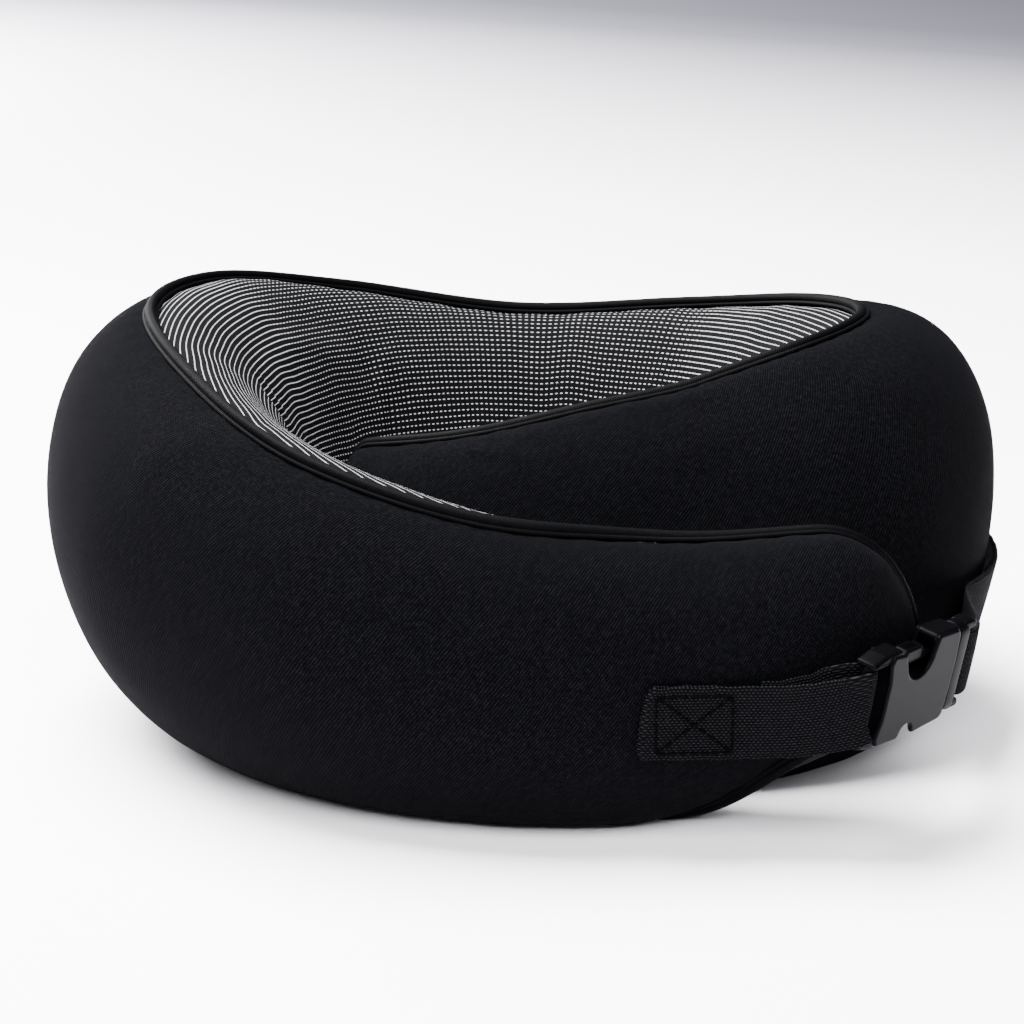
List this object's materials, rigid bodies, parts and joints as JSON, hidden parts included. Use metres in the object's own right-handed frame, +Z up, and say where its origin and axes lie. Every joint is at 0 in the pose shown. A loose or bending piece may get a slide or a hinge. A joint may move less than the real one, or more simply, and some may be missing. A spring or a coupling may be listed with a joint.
{
  "type": "u shaped neck pillow",
  "caption": "U shaped memory foam neck pillow with overlapping arms, piped seams and a side release buckle strap.",
  "frame": {"origin": "centre of the pillow's bounding box on the surface it rests on", "axes": "+Z up, -Y towards the buckled front, +X towards the side where the buckle sits"},
  "size_m": [0.2889, 0.2668, 0.1331],
  "materials": {
    "foam": "matte open cell foam",
    "jersey": "brushed stretch jersey",
    "striped_knit": "black knit with rows of white dots",
    "piping": "satin covered cord",
    "webbing": "ribbed woven webbing",
    "thread": "matte sewing thread",
    "buckle_plastic": "satin moulded acetal",
    "zip_tape": "woven tape",
    "zip_plastic": "nylon coil",
    "zip_metal": "black lacquered zinc",
    "label": "blank satin label"
  },
  "bodies": {
    "pillow": {"foam_core": "foam", "outer_cover": "jersey", "inner_cover": "striped_knit", "piping": "piping", "strap_right": "webbing", "strap_right_stitch": "thread", "zip_tape_upper": "zip_tape", "zip_tape_lower": "zip_tape", "zip_coil": "zip_plastic", "zip_stops": "zip_metal", "size_label": "label"},
    "left_arm": {"foam_arm": "foam", "outer_cover_arm": "jersey", "inner_cover_arm": "striped_knit", "piping_arm": "piping", "strap_left": "webbing", "strap_left_fold": "webbing", "strap_left_stitch": "thread", "buckle_socket": "buckle_plastic"},
    "plug": {"buckle_plug": "buckle_plastic", "strap_loop": "webbing"},
    "prong_upper": {"prong_upper": "buckle_plastic"},
    "prong_lower": {"prong_lower": "buckle_plastic"},
    "zip_slider": {"zip_slider": "zip_metal"},
    "zip_pull": {"zip_pull": "zip_metal"}
  },
  "joints": [
    {"name": "left_arm_open", "type": "hinge", "parent": "pillow", "child": "left_arm", "pos_m": [-0.1259, 0.0701, 0.06], "axis": [0, 0, -1], "range_deg": [0, 40], "stiffness_Nm_per_rad": 0.4},
    {"name": "plug_pull_out", "type": "slide", "parent": "pillow", "child": "plug", "axis": [0.6337, 0.7736, 0], "range_m": [0, 0.025]},
    {"name": "prong_upper_press", "type": "hinge", "parent": "plug", "child": "prong_upper", "pos_m": [0.11472, -0.09806, 0.05341], "axis": [0.7555, -0.6189, -0.2147], "range_deg": [0, 6], "stiffness_Nm_per_rad": 0.03},
    {"name": "prong_lower_press", "type": "hinge", "parent": "plug", "child": "prong_lower", "pos_m": [0.11207, -0.09588, 0.03779], "axis": [-0.7555, 0.6189, 0.2147], "range_deg": [0, 6], "stiffness_Nm_per_rad": 0.03},
    {"name": "zip_open", "type": "hinge", "parent": "pillow", "child": "zip_slider", "pos_m": [-0.003, -0.049, 0.03], "axis": [0, 0, 1], "range_deg": [0, 19]},
    {"name": "pull_lift", "type": "hinge", "parent": "zip_slider", "child": "zip_pull", "pos_m": [0.02651, 0.12735, 0.02783], "axis": [-0.0578, -0.3454, -0.9367], "range_deg": [0, 150]}
  ]
}
